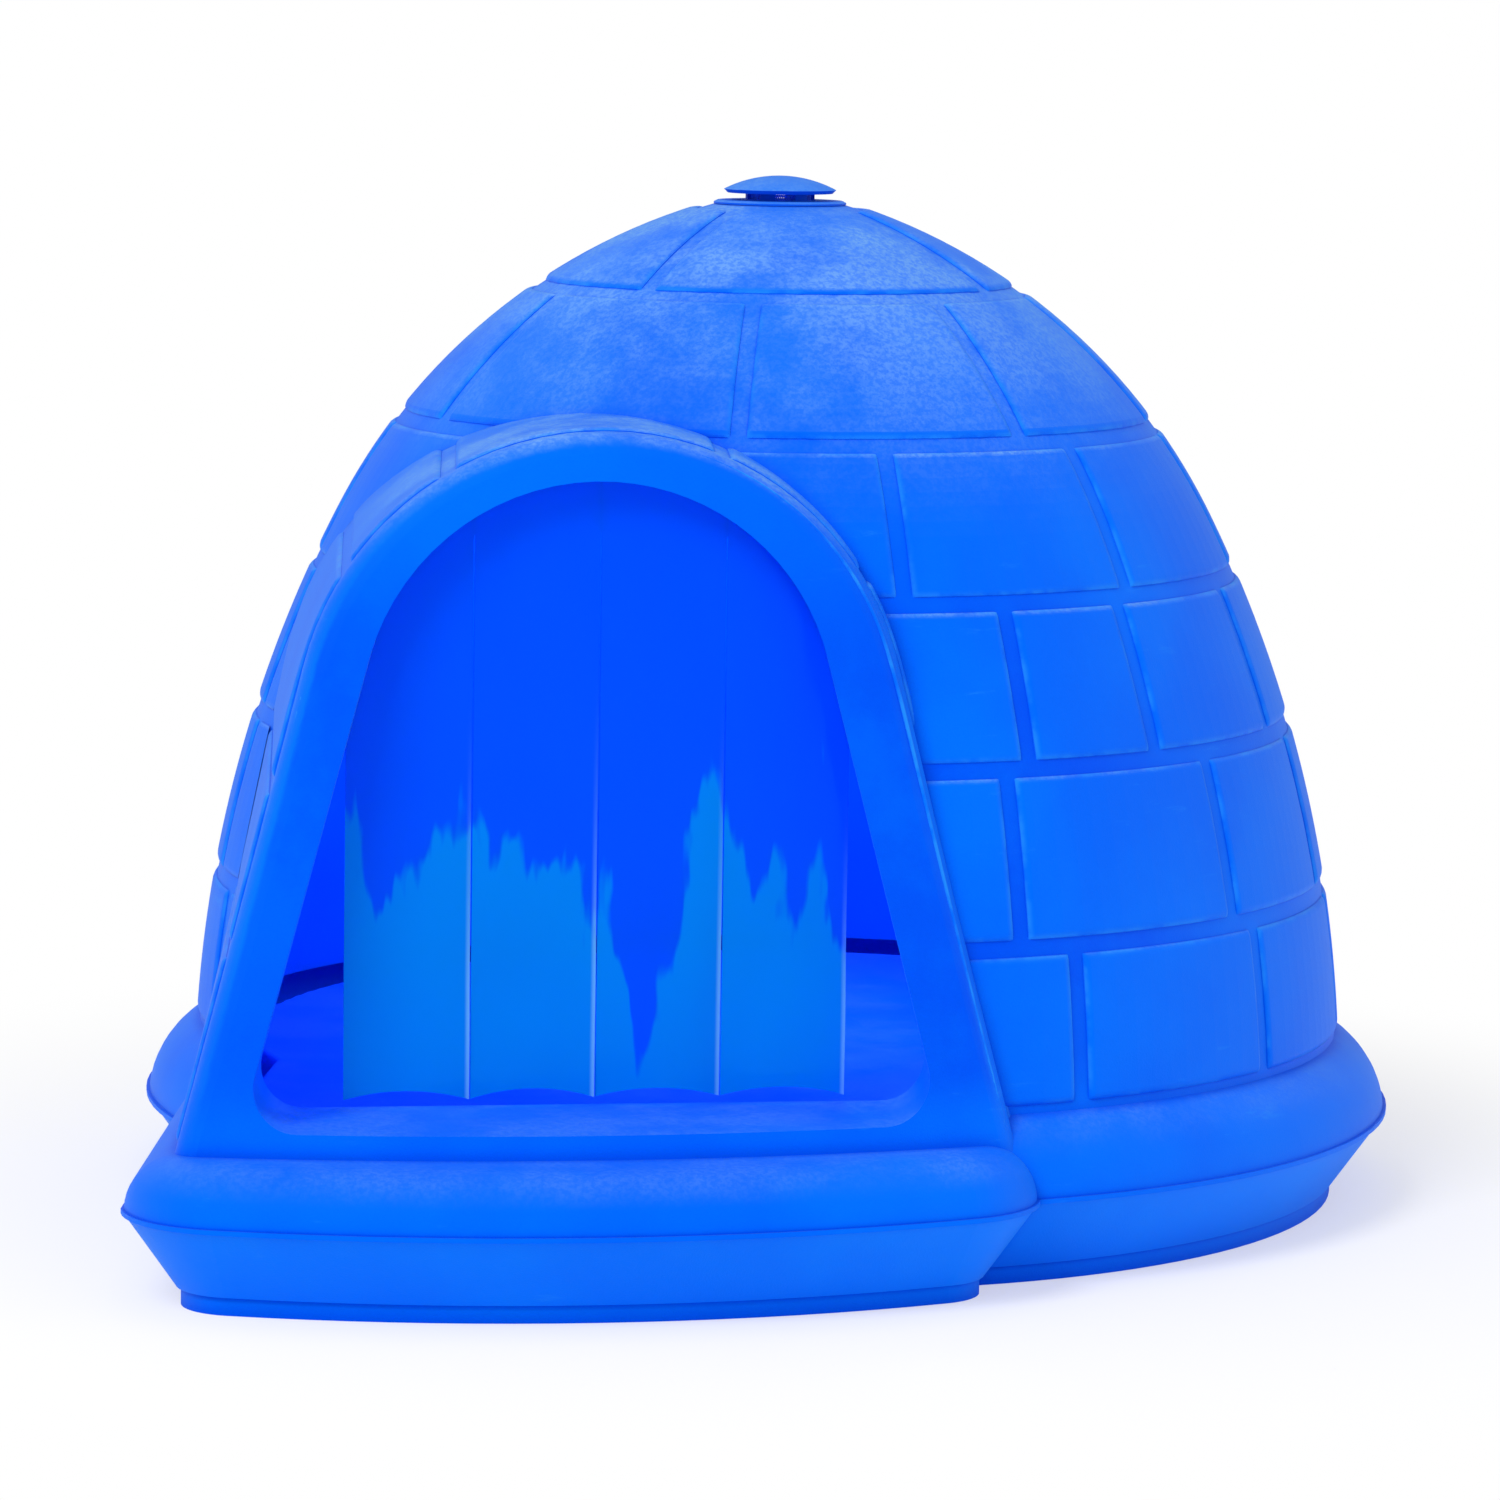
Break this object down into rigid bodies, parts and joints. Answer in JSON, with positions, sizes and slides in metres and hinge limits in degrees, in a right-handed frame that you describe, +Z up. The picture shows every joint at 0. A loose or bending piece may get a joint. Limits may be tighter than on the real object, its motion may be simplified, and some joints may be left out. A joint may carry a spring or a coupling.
{
  "type": "dog house",
  "caption": "Domed plastic dog house with an arched doorway tunnel set off to one side, a strip door that swings both ways, a raised floor pan and a sliding roof vent cap.",
  "frame": {"origin": "on the ground under the dome's axis, at the middle of the foot pad beneath the floor", "axes": "+Z up, -Y out of the doorway, +X to the right for someone who looks at the doorway from outside"},
  "size_m": [0.908, 0.9538, 0.7015],
  "materials": {
    "shell": "satin moulded, faintly textured",
    "pan": "satin moulded",
    "door_sheet": "clear flexible vinyl",
    "rivet": "plain",
    "vent": "satin",
    "retainer": "plain nylon",
    "fastener": "zinc plated"
  },
  "bodies": {
    "shell": {"upper_shell": "shell", "base_pan": "pan", "door_header": "door_sheet", "door_clamp": "shell", "door_rivets": "rivet", "vent_collar": "vent", "shell_bolts": "fastener", "nut_washers": "fastener", "wing_nuts": "retainer"},
    "strip_1": {"door_strip_1": "door_sheet"},
    "strip_2": {"door_strip_2": "door_sheet"},
    "strip_3": {"door_strip_3": "door_sheet"},
    "strip_4": {"door_strip_4": "door_sheet"},
    "vent": {"vent_cap": "vent", "vent_retainer": "retainer"}
  },
  "joints": [
    {"name": "strip_1_swing", "type": "hinge", "parent": "shell", "child": "strip_1", "pos_m": [-0.28665, -0.33375, 0.3], "axis": [1, 0, 0], "range_deg": [-70, 70]},
    {"name": "strip_2_swing", "type": "hinge", "parent": "shell", "child": "strip_2", "pos_m": [-0.20465, -0.33375, 0.48], "axis": [1, 0, 0], "range_deg": [-70, 70]},
    {"name": "strip_3_swing", "type": "hinge", "parent": "shell", "child": "strip_3", "pos_m": [-0.12265, -0.33375, 0.48], "axis": [1, 0, 0], "range_deg": [-70, 70]},
    {"name": "strip_4_swing", "type": "hinge", "parent": "shell", "child": "strip_4", "pos_m": [-0.04065, -0.33375, 0.3], "axis": [1, 0, 0], "range_deg": [-70, 70]},
    {"name": "vent_slide", "type": "slide", "parent": "shell", "child": "vent", "axis": [0, 0, 1], "range_m": [-0.0047, 0]}
  ]
}
